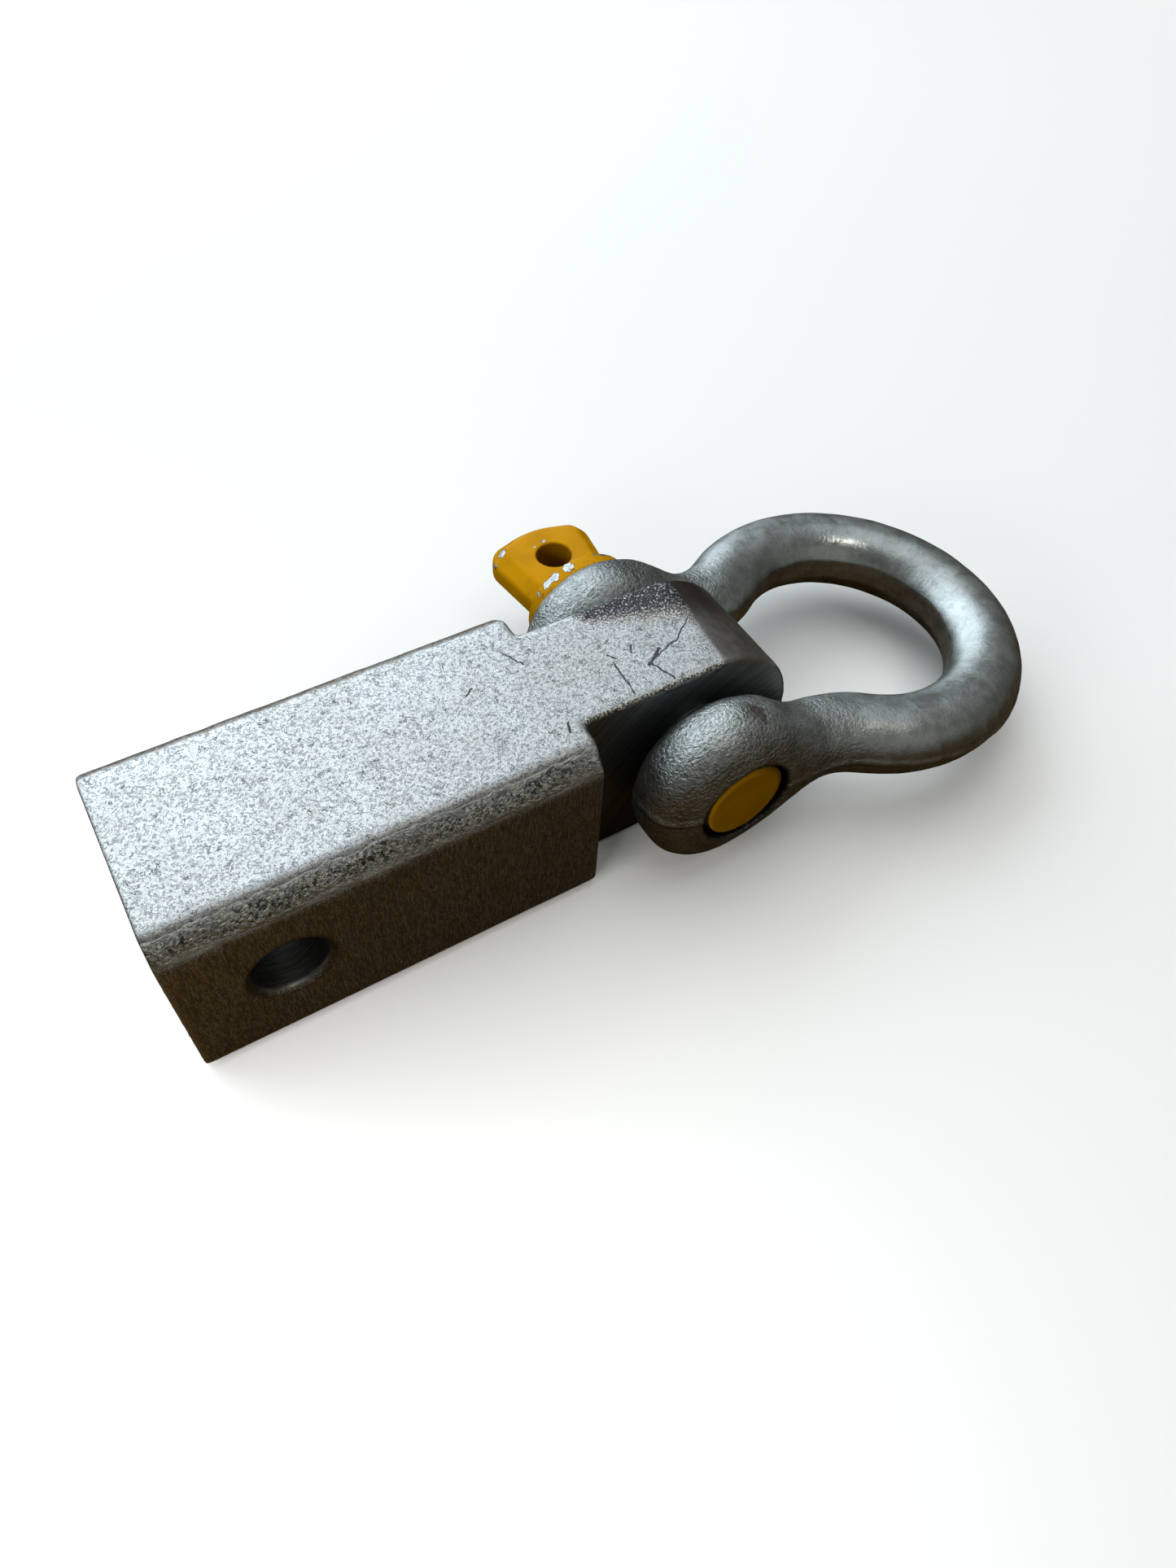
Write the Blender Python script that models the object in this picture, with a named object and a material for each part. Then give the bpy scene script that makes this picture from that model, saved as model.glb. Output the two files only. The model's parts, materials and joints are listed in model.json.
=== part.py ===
"""Tow-receiver recovery block with a bow shackle and its screw pin.

Three loose pieces: a solid steel block (square shank and flat tongue), a forged
shackle bow, and a screw pin that joins them through the tongue.
Metres, +Z up. The origin is on the block's underside, below the hitch-pin hole.
+X runs along the shank to the shackle, and +Y is the side of the pin's head.
"""
import math

import bmesh
import bpy
from mathutils import Vector
from mathutils.geometry import interpolate_bezier

MM = 0.001

# Receiver block
BAR = 50.0 * MM                    # square bar that fills a 2 inch receiver
SHANK_LENGTH = 96.7 * MM
HITCH_HOLE_FROM_END = 23.4 * MM
HITCH_HOLE_R = 8.25 * MM
HITCH_SINK = 1.3 * MM              # countersink, the same in radius and depth
TOP_CHAMFER = 4.5 * MM             # width across the top of both upper chamfers
NEAR_CHAMFER_DROP = 6.9 * MM       # depth of the upper chamfer on the -Y side
FAR_CHAMFER_DROP = 3.3 * MM        # depth of the upper chamfer on the +Y side
LOW_CHAMFER = 3.0 * MM
TONGUE_THICK = 30.0 * MM
TONGUE_ROOT = 8.0 * MM             # how far the tongue's prism starts inside the shank
TONGUE_BORE_R = 12.0 * MM
NOSE_R = 25.3 * MM
BLOCK_EDGE_R = 0.9 * MM

# Places that follow from the block
SHANK_END_X = -HITCH_HOLE_FROM_END
SHOULDER_X = SHANK_END_X + SHANK_LENGTH
PIN_X = SHOULDER_X + 32.1 * MM
PIN_Z = BAR / 2
NOSE_X = PIN_X + 1.4 * MM          # centre of the nose's arc

# Shackle bow, in its own frame: U from the pin to the crown, V along the pin, W up
BOW_DROOP = math.radians(4.8)      # how far the bow hangs below level
SIDE_PLAY = 0.3 * MM               # how far the shackle has slid along its pin, towards -Y
STOCK_R = 9.97 * MM
CROWN_R = 36.6 * MM                # centreline radius of the crown
CROWN_U = 60.6 * MM                # centre of the crown's arc, from the pin
CROWN_HALF_TURN = math.radians(124.5)
LEG_HANDLE = 11.7 * MM             # how gently the leg straightens into the ear
EAR_R = 22.8 * MM
EAR_INNER_V = 16.1 * MM
EAR_OUTER_V = 36.3 * MM
EAR_RIM_V = 25.7 * MM              # where the ear is widest
EAR_CENTRE_V = EAR_INNER_V + STOCK_R
EAR_SQUARENESS = 3.0               # power of the superellipse: 2 is round, more is boxier
LEG_END_U = 8.0 * MM               # where the leg's centreline runs straight
NECK_START_U = 1.0 * MM            # the neck narrows from the ear's circle here ...
NECK_END_U = 27.0 * MM             # ... to the round stock here
BORE_R = 11.6 * MM

# Screw pin, along Y
PIN_R = 11.1 * MM
THREAD_R = 10.9 * MM
THREAD_PITCH = 2.82 * MM           # nine threads to the inch
THREAD_DEPTH = 1.5 * MM
THREAD_LENGTH = 24.0 * MM
GROOVE_HALF_MOUTH = 0.46 * THREAD_PITCH
GROOVE_HALF_ROOT = 0.07 * THREAD_PITCH
GROOVE_CLEAR = 0.3 * MM            # how far the groove's cutter stands out of the shaft
GROOVE_RUN_OUT = 0.6               # turns over which the groove gets shallow and ends
PIN_TIP_Y = -35.6 * MM
PIN_TIP_R = 9.75 * MM
PIN_TIP_CHAMFER = 1.2 * MM
COLLAR_R = 15.0 * MM
COLLAR_Y = EAR_OUTER_V + 0.3 * MM
COLLAR_THICK = 5.0 * MM
COLLAR_EDGE = 0.6 * MM
HEAD_END_Y = 68.7 * MM
HEAD_HALF_WIDTH = 14.5 * MM
HEAD_BASE_HALF_WIDTH = 11.6 * MM
HEAD_HALF_THICK = 5.9 * MM
HEAD_CORNER_R = 6.5 * MM
HEAD_CROWNING = 1.8 * MM           # how far the head's end bulges between its corners
HEAD_CHAMFER = 3.5 * MM
HEAD_EDGE_R = 0.7 * MM
EYE_Y = 54.0 * MM
EYE_R = 4.75 * MM

ROUND_STEPS = 48                   # facets round a bore or a shaft
STOCK_STEPS = 32                   # facets round the bow's stock
THREAD_STEPS = 28                  # facets in one turn of thread
NOSE_STEPS = 22                    # facets along each of these arcs
CROWN_STEPS = 17
LEG_STEPS = 13
EAR_STEPS = 10
HEAD_CORNER_STEPS = 5
HEAD_END_STEPS = 6
SMOOTH_ANGLE = math.radians(32)


def clear_scene():
    for item in list(bpy.data.objects):
        bpy.data.objects.remove(item, do_unlink=True)


def make_material(name, colour, roughness, metallic):
    material = bpy.data.materials.new(name)
    material.use_nodes = True
    shader = material.node_tree.nodes["Principled BSDF"]
    shader.inputs["Base Color"].default_value = (*colour, 1.0)
    shader.inputs["Roughness"].default_value = roughness
    shader.inputs["Metallic"].default_value = metallic
    return material


def loft(name, rings, cap_first=True):
    """One mesh object through a list of rings that all have the same number of points."""
    mesh = bpy.data.meshes.new(name)
    bm = bmesh.new()
    rows = [[bm.verts.new(point) for point in ring] for ring in rings]
    count = len(rows[0])
    for row, after in zip(rows, rows[1:]):
        for i in range(count):
            j = (i + 1) % count
            bm.faces.new((row[i], row[j], after[j], after[i]))
    if cap_first:
        bm.faces.new(reversed(rows[0]))
    bm.faces.new(rows[-1])
    bmesh.ops.recalc_face_normals(bm, faces=bm.faces)
    bm.to_mesh(mesh)
    bm.free()
    mesh.shade_smooth()
    mesh.set_sharp_from_angle(angle=SMOOTH_ANGLE)
    item = bpy.data.objects.new(name, mesh)
    bpy.context.collection.objects.link(item)
    return item


def turned(name, profile):
    """A solid of revolution about Y through (radius, y) points."""
    turns = [math.tau * i / ROUND_STEPS for i in range(ROUND_STEPS)]
    rings = [[Vector((r * math.cos(a), y, r * math.sin(a))) for a in turns] for r, y in profile]
    return loft(name, rings)


def arc(centre_a, centre_b, radius, start, end, steps):
    """Points (a, b) on a flat arc, both ends included."""
    angles = [start + (end - start) * i / steps for i in range(steps + 1)]
    return [(centre_a + radius * math.cos(t), centre_b + radius * math.sin(t)) for t in angles]


def use_as_cutter(item):
    item.hide_render = True
    item.display_type = "WIRE"


def combine(target, other, operation):
    """Add or cut another object with the exact solver, and keep that object as a guide."""
    use_as_cutter(other)
    step = target.modifiers.new(other.name, "BOOLEAN")
    step.operation = operation
    step.solver = "EXACT"
    step.object = other


def round_edges(target, width, segments):
    step = target.modifiers.new("edges", "BEVEL")
    step.limit_method = "ANGLE"
    step.angle_limit = SMOOTH_ANGLE
    step.width = width
    step.segments = segments


# Receiver block

def shank_section(x):
    """The bar's section: its four long edges are ground off, deepest at the top on the -Y side."""
    side = BAR / 2
    low_far = [(side - LOW_CHAMFER, 0.0), (side, LOW_CHAMFER)]
    top_far = [(side, BAR - FAR_CHAMFER_DROP), (side - TOP_CHAMFER, BAR)]
    top_near = [(TOP_CHAMFER - side, BAR), (-side, BAR - NEAR_CHAMFER_DROP)]
    low_near = [(-side, LOW_CHAMFER), (LOW_CHAMFER - side, 0.0)]
    return [Vector((x, y, z)) for y, z in low_far + top_far + top_near + low_near]


def tongue_outline(y):
    """The tongue's side view: flat top and bottom, and a nose round the pin."""
    reach = math.asin(BAR / 2 / NOSE_R)
    nose = arc(NOSE_X, PIN_Z, NOSE_R, -reach, reach, NOSE_STEPS)
    root = SHOULDER_X - TONGUE_ROOT
    return [Vector((x, y, z)) for x, z in [(root, 0.0)] + nose + [(root, BAR)]]


def hitch_profile():
    """The cross hole for the hitch pin, countersunk on both sides."""
    floor_y = BAR / 2 - HITCH_SINK
    mouth_y = BAR / 2 + HITCH_SINK
    mouth_r = HITCH_HOLE_R + 2 * HITCH_SINK
    half = [(HITCH_HOLE_R, floor_y), (mouth_r, mouth_y)]
    return [(r, -y) for r, y in reversed(half)] + half


def make_block(material):
    block = loft("receiver_block", [shank_section(SHANK_END_X), shank_section(SHOULDER_X)])
    sides = (-TONGUE_THICK / 2, TONGUE_THICK / 2)
    tongue = loft("tongue_guide", [tongue_outline(y) for y in sides])
    combine(block, tongue, "UNION")
    round_edges(block, BLOCK_EDGE_R, 2)

    hitch_hole = turned("hitch_hole_cutter", hitch_profile())
    hitch_hole.location = (0.0, 0.0, BAR / 2)
    combine(block, hitch_hole, "DIFFERENCE")

    pin_bore = turned("tongue_bore_cutter", [(TONGUE_BORE_R, -BAR / 2), (TONGUE_BORE_R, BAR / 2)])
    pin_bore.location = (PIN_X, 0.0, PIN_Z)
    combine(block, pin_bore, "DIFFERENCE")
    block.data.materials.append(material)


# Shackle bow

def ease(value):
    value = min(max(value, 0.0), 1.0)
    return value * value * (3.0 - 2.0 * value)


def bow_centreline():
    """(u, v) points from the crown round to the ear's centre."""
    crown = arc(CROWN_U, 0.0, CROWN_R, 0.0, CROWN_HALF_TURN, CROWN_STEPS)
    leave = Vector((*crown[-1], 0.0))
    heading = Vector((-math.sin(CROWN_HALF_TURN), math.cos(CROWN_HALF_TURN), 0.0))
    ear = Vector((LEG_END_U, EAR_CENTRE_V, 0.0))
    handle = Vector((LEG_HANDLE, 0.0, 0.0))
    leg = interpolate_bezier(leave, leave + heading * LEG_HANDLE, ear + handle, ear, LEG_STEPS)
    turns = [math.pi / 2 * i / (EAR_STEPS + 1) for i in range(EAR_STEPS + 1)]
    tip = [(-EAR_R * math.sin(a), EAR_CENTRE_V) for a in turns]
    return crown + [(p.x, p.y) for p in leg[1:]] + tip


def ear_share(u):
    """1 in the ear, 0 in the round stock, and a smooth change along the neck."""
    return ease((NECK_END_U - u) / (NECK_END_U - NECK_START_U))


def half_height(u):
    """Half height of the forging at u: the ear's circle, then a smooth neck to the stock."""
    if u <= NECK_START_U:
        return math.sqrt(EAR_R ** 2 - u ** 2)
    start = math.sqrt(EAR_R ** 2 - NECK_START_U ** 2)
    return STOCK_R + (start - STOCK_R) * ear_share(u)


def power_wave(value, power):
    """A superellipse's coordinate for the cosine or sine of its turn."""
    return math.copysign(abs(value) ** (2.0 / power), value)


def bow_ring(u, v, heading):
    """A closed section: round in the stock, and a rounded slab at the ear."""
    ear = ear_share(u)
    power = 2.0 + (EAR_SQUARENESS - 2.0) * ear
    middle = v + (EAR_RIM_V - v) * ear
    tip = (1.0 - (max(-u, 0.0) / EAR_R) ** power) ** (1.0 / power)
    inner = ((middle - EAR_INNER_V) * ear + STOCK_R * (1.0 - ear)) * tip
    outer = ((EAR_OUTER_V - middle) * ear + STOCK_R * (1.0 - ear)) * tip
    height = half_height(u)
    outward = Vector((-heading.y, heading.x))
    ring = []
    for i in range(STOCK_STEPS):
        turn = math.tau * i / STOCK_STEPS
        cosine = math.cos(turn)
        across = power_wave(cosine, power) * (outer if cosine > 0.0 else inner)
        rise = power_wave(math.sin(turn), power) * height
        ring.append(Vector((u + outward.x * across, middle + outward.y * across, rise)))
    return ring


def bow_rings():
    points = bow_centreline()
    rings = []
    for i, (u, v) in enumerate(points):
        before = points[max(i - 1, 0)]
        after = points[min(i + 1, len(points) - 1)]
        heading = Vector((before[0] - after[0], before[1] - after[1])).normalized()
        if i == 0:
            heading = Vector((0.0, -1.0))
        rings.append(bow_ring(u, v, heading))
    return rings


def mirror_across_pin(target):
    step = target.modifiers.new("other_leg", "MIRROR")
    step.use_axis = (False, True, False)
    step.use_clip = True
    step.merge_threshold = 0.00005


def make_bow(material, axle):
    bow = loft("shackle_bow", bow_rings(), cap_first=False)
    mirror_across_pin(bow)
    bore = turned("bow_bore_cutter", [(BORE_R, -2 * EAR_R), (BORE_R, 2 * EAR_R)])
    bore.parent = axle
    combine(bow, bore, "DIFFERENCE")
    bow.data.materials.append(material)
    bow.parent = axle


# Screw pin

def thread_groove():
    """A right-hand helical cutter of V section that runs in from beyond the pin's tip."""
    steps = round(THREAD_LENGTH / THREAD_PITCH * THREAD_STEPS)
    mouth = THREAD_R + GROOVE_CLEAR
    rings = []
    for i in range(steps + 1):
        turn = -math.tau * i / THREAD_STEPS
        y = PIN_TIP_Y + THREAD_PITCH * (i / THREAD_STEPS - 1.0)
        turns_left = (steps - i) / THREAD_STEPS
        depth = THREAD_DEPTH * min(turns_left / GROOVE_RUN_OUT, 1.0)
        root = min(THREAD_R - depth, mouth - GROOVE_CLEAR / 2)
        flank = [(mouth, GROOVE_HALF_MOUTH), (root, GROOVE_HALF_ROOT)]
        section = [(r, y - half) for r, half in flank] + [(r, y + half) for r, half in reversed(flank)]
        rings.append([Vector((r * math.cos(turn), h, r * math.sin(turn))) for r, h in section])
    return loft("pin_thread_cutter", rings)


def shaft_profile():
    thread_end = PIN_TIP_Y + THREAD_LENGTH
    collar_end = COLLAR_Y + COLLAR_THICK
    return [
        (PIN_TIP_R, PIN_TIP_Y),
        (THREAD_R, PIN_TIP_Y + PIN_TIP_CHAMFER),
        (THREAD_R, thread_end),
        (PIN_R, thread_end + (PIN_R - THREAD_R)),
        (PIN_R, COLLAR_Y),
        (COLLAR_R - COLLAR_EDGE, COLLAR_Y),
        (COLLAR_R, COLLAR_Y + COLLAR_EDGE),
        (COLLAR_R, collar_end - COLLAR_EDGE),
        (COLLAR_R - COLLAR_EDGE, collar_end),
    ]


def head_outline(z):
    """The flattened head seen from above: flared flanks, round corners, a crowned end."""
    base = COLLAR_Y + COLLAR_THICK / 2
    corner_x = HEAD_HALF_WIDTH - HEAD_CORNER_R
    corner_y = HEAD_END_Y - HEAD_CROWNING - HEAD_CORNER_R
    crown_r = (corner_x ** 2 + HEAD_CROWNING ** 2) / (2 * HEAD_CROWNING)
    lean = math.asin(corner_x / crown_r)
    upright = math.pi / 2
    corner = arc(corner_x, corner_y, HEAD_CORNER_R, 0.0, upright - lean, HEAD_CORNER_STEPS)
    right = [(HEAD_BASE_HALF_WIDTH, base)] + corner
    end = arc(0.0, HEAD_END_Y - crown_r, crown_r, upright - lean, upright + lean, HEAD_END_STEPS)
    left = [(-x, y) for x, y in reversed(right)]
    return [Vector((x, y, z)) for x, y in right + end[1:-1] + left]


def make_pin(material, axle):
    pin = turned("screw_pin", shaft_profile())
    head = loft("head_guide", [head_outline(-HEAD_HALF_THICK), head_outline(HEAD_HALF_THICK)])
    round_edges(head, HEAD_CHAMFER, 1)
    round_edges(head, HEAD_EDGE_R, 2)
    combine(pin, head, "UNION")
    eye = turned("eye_cutter", [(EYE_R, -2 * HEAD_HALF_THICK), (EYE_R, 2 * HEAD_HALF_THICK)])
    eye.rotation_euler = (math.pi / 2, 0.0, 0.0)
    eye.location = (0.0, EYE_Y, 0.0)
    combine(pin, eye, "DIFFERENCE")
    groove = thread_groove()
    combine(pin, groove, "DIFFERENCE")
    for guide in (head, eye, groove):
        guide.parent = axle
    pin.data.materials.append(material)
    pin.parent = axle


def make_axle(name, droop):
    """An empty on the shackle pin's axis."""
    axle = bpy.data.objects.new(name, None)
    axle.location = (PIN_X, -SIDE_PLAY, PIN_Z)
    axle.rotation_euler = (0.0, droop, 0.0)
    bpy.context.collection.objects.link(axle)
    return axle


def main():
    clear_scene()
    zinc = make_material("zinc_plated_steel", (0.62, 0.66, 0.68), 0.42, 1.0)
    galvanised = make_material("galvanised_steel", (0.42, 0.45, 0.46), 0.50, 1.0)
    yellow = make_material("yellow_enamel", (0.80, 0.40, 0.01), 0.35, 0.0)
    make_block(zinc)
    make_bow(galvanised, make_axle("bow_axle", BOW_DROOP))
    make_pin(yellow, make_axle("pin_axle", 0.0))


main()
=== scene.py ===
"""Looks of a tow-receiver block with a bow shackle and its screw pin.

Each CAD node is stood for by one fine mesh in the same place: the CAD solid is
remeshed, its facets are smoothed away, and the marks of forging, grinding, zinc
and paint are added as relief and as painted masks that the materials read.
"""
import json
import math

import bpy
import numpy as np
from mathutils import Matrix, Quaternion, Vector, noise


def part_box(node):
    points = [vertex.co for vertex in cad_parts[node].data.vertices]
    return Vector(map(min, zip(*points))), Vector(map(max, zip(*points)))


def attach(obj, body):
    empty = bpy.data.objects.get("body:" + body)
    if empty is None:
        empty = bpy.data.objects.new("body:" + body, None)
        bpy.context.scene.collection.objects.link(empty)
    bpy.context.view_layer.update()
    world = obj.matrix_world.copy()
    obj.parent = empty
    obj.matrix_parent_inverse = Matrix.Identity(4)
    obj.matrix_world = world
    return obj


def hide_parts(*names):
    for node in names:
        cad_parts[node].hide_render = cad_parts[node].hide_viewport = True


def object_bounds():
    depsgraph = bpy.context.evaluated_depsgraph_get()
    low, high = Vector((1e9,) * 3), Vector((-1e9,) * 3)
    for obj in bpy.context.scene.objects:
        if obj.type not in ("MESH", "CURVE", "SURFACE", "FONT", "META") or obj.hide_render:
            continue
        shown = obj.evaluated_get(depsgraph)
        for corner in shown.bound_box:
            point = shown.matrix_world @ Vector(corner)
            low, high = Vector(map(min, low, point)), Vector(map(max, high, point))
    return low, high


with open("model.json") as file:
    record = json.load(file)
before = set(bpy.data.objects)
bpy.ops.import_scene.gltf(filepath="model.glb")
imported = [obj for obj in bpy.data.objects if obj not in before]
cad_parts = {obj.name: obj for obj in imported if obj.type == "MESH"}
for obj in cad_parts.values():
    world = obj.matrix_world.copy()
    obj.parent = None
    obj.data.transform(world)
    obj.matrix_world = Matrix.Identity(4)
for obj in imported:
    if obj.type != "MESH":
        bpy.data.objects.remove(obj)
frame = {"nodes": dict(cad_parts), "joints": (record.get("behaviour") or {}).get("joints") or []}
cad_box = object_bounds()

MM = 0.001

# Places in the frame
PIN_AXIS = Vector(next(j["pos_m"] for j in frame["joints"] if j["name"] == "shackle_swing"))
BLOCK_LOW, BLOCK_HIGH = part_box("receiver_block")
BAR_HALF = (BLOCK_HIGH.z - BLOCK_LOW.z) / 2
HITCH_HOLE_RADIUS = 8.25 * MM
SHOULDER_X = 73.3 * MM
TONGUE_HALF = 15.0 * MM
NOSE_CREASE_X = 112.2 * MM
BOW_DROOP = math.radians(4.8)
JAW_HALF = 16.1 * MM               # half the gap between the bow's ears
BOW_BORE = 11.6 * MM
CROWN_CENTRE = 60.6 * MM           # from the pin
CROWN_RADIUS = 36.6 * MM
STOCK_RADIUS = 9.97 * MM
TRIMMED_HALF = 3.0 * MM            # half the height of the flat where the flash was trimmed
FLASH_HALF = 1.25 * MM             # half the width of the flash line on the rest of the bow
TIP_FACE_Y = -34.5 * MM
COLLAR_FROM_Y = 36.0 * MM
COLLAR_RADIUS = 15.0 * MM
EYE_Y = 53.7 * MM

# Studio. The camera sees a pale floor and backdrop; metal reflects a brown table and a dim room.
FLOOR_SHOWN = (0.86, 0.86, 0.85, 1.0)
FLOOR_IN_METAL = (0.042, 0.0235, 0.0055, 1.0)
BACKDROP = (0.9, 0.9, 0.9, 1.0)
ROOM_IN_METAL = (0.112, 0.113, 0.105, 1.0)
FLOOR_HALF = 4.0
FADE_FROM = 0.40                   # the floor turns into the backdrop between
FADE_TO = 1.10                     # these two distances from the origin
CAMERA_PLACE = Vector((-9.15, -141.63, 225.20)) * MM
CAMERA_AIM = Vector((76.34, -13.50, 25.0)) * MM
CAMERA_ROLL = math.radians(3.77)
CAMERA_LENS = 25.03
SENSOR_WIDTH = 36.0

# Mesh sizes
BLOCK_VOXEL = 0.66 * MM
BOW_VOXEL = 0.58 * MM
PIN_VOXEL = 0.40 * MM

# Colours of the surfaces, in linear light
# Zinc plate: skin with painted shade and painted glints on its crinkles, stains, pits
ZINC_WARM = (0.69, 0.685, 0.66, 1)
ZINC_COOL = (0.75, 0.76, 0.77, 1)
ZINC_SHADE = (0.42, 0.43, 0.44, 1)
ZINC_GLINT = (0.90, 0.91, 0.92, 1)
ZINC_STROKE = (0.22, 0.23, 0.25, 1)
ZINC_STAIN = (0.26, 0.23, 0.18, 1)
ZINC_PIT = (0.045, 0.045, 0.05, 1)
# Heat tarnish, the burr beside it with its painted glints, and the darker brown on the hitch
# hole's rim
TARNISH_THIN = (0.26, 0.18, 0.12, 1)
TARNISH_THICK = (0.045, 0.036, 0.042, 1)
TARNISH_GLITTER = (0.85, 0.86, 0.88, 1)
BURR_DARK = (0.09, 0.085, 0.065, 1)
BURR_GLINT = (0.98, 0.95, 0.86, 1)
HOLE_RIM_BROWN = (0.19, 0.155, 0.105, 1)
# Ground chamfers: painted glints and painted shade in the low spots of their hammered middle,
# painted shade on the far chamfers
GROUND_DARK = (0.66, 0.685, 0.64, 1)
GROUND_LIGHT = (0.93, 0.955, 0.89, 1)
GROUND_FAR_SHADE = (0.31, 0.275, 0.25, 1)
GROUND_GLINT = (1.0, 0.99, 0.94, 1)
GROUND_DENT_SHADE = (0.08, 0.08, 0.075, 1)
# Machined faces of the block; painted shade darkens the milled faces and the hitch hole's bore
MILLED_SHADED_DARK = (0.20, 0.215, 0.22, 1)
MILLED_SHADED_LIGHT = (0.46, 0.49, 0.50, 1)
NOSE_DARK = (0.36, 0.33, 0.31, 1)
NOSE_LIGHT = (0.50, 0.47, 0.45, 1)
NOSE_BURNT = (0.10, 0.075, 0.062, 1)
BORED_SHADED_DARK = (0.24, 0.236, 0.22, 1)
BORED_SHADED_LIGHT = (0.42, 0.414, 0.39, 1)
# Galvanised bow; painted shade in the orange peel's low spots, along the foot of the flash line
# and in the bore
BOW_DARK = (0.46, 0.49, 0.48, 1)
BOW_LIGHT = (0.63, 0.665, 0.66, 1)
BOW_MOTTLE = (0.33, 0.35, 0.345, 1)
BOW_BRUSHED = (0.30, 0.31, 0.31, 1)
BOW_STAIN = (0.16, 0.17, 0.165, 1)
BOW_FLECK = (0.84, 0.85, 0.85, 1)
BOW_HOLLOW_SHADE = (0.20, 0.205, 0.19, 1)
BOW_SPECK = (0.05, 0.045, 0.04, 1)
BOW_TRIMMED = (0.86, 0.80, 0.70, 1)
BOW_CREST = (0.86, 0.87, 0.87, 1)
BOW_SHADE_UNDER_FLASH = (0.07, 0.06, 0.045, 1)
BOW_RUST = (0.115, 0.080, 0.062, 1)
BOW_BORE_SHADE = (0.02, 0.02, 0.02, 1)
# Painted pin; painted shade on the tip face
ENAMEL_DARK = (0.46, 0.215, 0.001, 1)
ENAMEL_LIGHT = (0.53, 0.250, 0.001, 1)
ENAMEL_DIRT = (0.12, 0.060, 0.012, 1)
ENAMEL_DARK_EYE_SHADED_TIP = (0.13, 0.055, 0.002, 1)
ENAMEL_TORN = (0.06, 0.035, 0.012, 1)
ENAMEL_SHEEN = (1.0, 0.70, 0.03, 1.0)
PIN_STEEL_DARK = (0.38, 0.39, 0.39, 1)
PIN_STEEL_LIGHT = (0.62, 0.63, 0.63, 1)

# How the ground chamfers face, as (y, z) of their normals
CHAMFERS = ((-0.838, 0.546), (0.591, 0.806), (-0.707, -0.707), (0.707, -0.707))
# Wider masks on the far chamfers also widen their painted shade
FAR_CHAMFERS_WIDER = 0.5 * MM      # at each border
MILL_CENTRE = (150.0 * MM, 0.0, -30.0 * MM)

# Wear. Numbers in brackets are in mm.
SCRATCHES = (                      # start and end (x, y) on the block's top, width
    ((95.2, -6.8), (104.5, -3.7), 0.32),
    ((104.5, -3.7), (111.0, 1.2), 0.26),
    ((95.2, -6.8), (97.6, -13.5), 0.30),
    ((94.9, -7.3), (99.6, -4.2), 0.62),
    ((88.0, -2.9), (87.4, -13.4), 0.26),
    ((94.4, -0.2), (93.2, -2.4), 0.34),
    ((89.2, -2.2), (87.9, -0.4), 0.32),
    ((56.9, 4.9), (54.9, 3.6), 0.36),
    ((70.5, -13.2), (69.4, -15.9), 0.34),
    ((67.6, 11.4), (70.3, 5.9), 0.22),
)
TARNISH_FROM_X = 86.5 * MM
TARNISH_TO_X = 113.0 * MM
FAR_BURR = 0.4                     # of the height of the near one
RUST_SPOT = ((110.8, -27.7, 46.2), 4.8)
STAIN_SPOT = ((108.6, 29.5, 46.4), 11.0)
POLISHED_SPOT = (182.3, 25.6, 26.2)
PAINT_CHIPS = (                    # place and radius, as for the rust and the stain
    ((93.8, 61.6, 29.9), 1.5),
    ((91.1, 60.5, 27.3), 0.9),
    ((102.2, 58.9, 30.9), 0.55),
    ((105.6, 59.7, 30.9), 0.7),
    ((95.2, 39.6, 36.2), 1.5),
    ((97.2, 39.3, 37.6), 1.6),
    ((101.2, 39.3, 39.4), 1.8),
    ((92.6, 39.8, 33.6), 1.0),
    ((109.6, 40.6, 39.3), 0.8),
    ((112.0, 40.3, 38.4), 1.0),
    ((116.9, 62.5, 22.0), 0.9),
    ((101.2, -34.9, 33.8), 0.7),
    ((102.8, -34.9, 34.4), 0.8),
    ((104.4, -34.9, 34.7), 0.7),
)


# Mesh work

def dense_copy(node, name, voxel):
    """An even, fine mesh in the shape of a CAD node."""
    rough = bpy.data.objects.new(name + "_rough", frame["nodes"][node].data.copy())
    bpy.context.scene.collection.objects.link(rough)
    remesh = rough.modifiers.new("fine", "REMESH")
    remesh.mode = "VOXEL"
    remesh.voxel_size = voxel
    graph = bpy.context.evaluated_depsgraph_get()
    mesh = bpy.data.meshes.new_from_object(rough.evaluated_get(graph), depsgraph=graph)
    bpy.data.objects.remove(rough, do_unlink=True)
    mesh.materials.clear()
    mesh.shade_smooth()
    piece = bpy.data.objects.new(name, mesh)
    bpy.context.scene.collection.objects.link(piece)
    return piece


def read_vectors(items, key):
    """One row of three numbers for each item."""
    values = np.empty(len(items) * 3)
    items.foreach_get(key, values)
    return values.reshape(-1, 3)


def write_points(mesh, points):
    mesh.vertices.foreach_set("co", points.ravel())
    mesh.update()


def store(mesh, name, values):
    """Keep one number per vertex, for a material to read."""
    layer = mesh.attributes.new(name, "FLOAT", "POINT")
    layer.data.foreach_set("value", np.asarray(values, dtype=np.float32))


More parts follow.
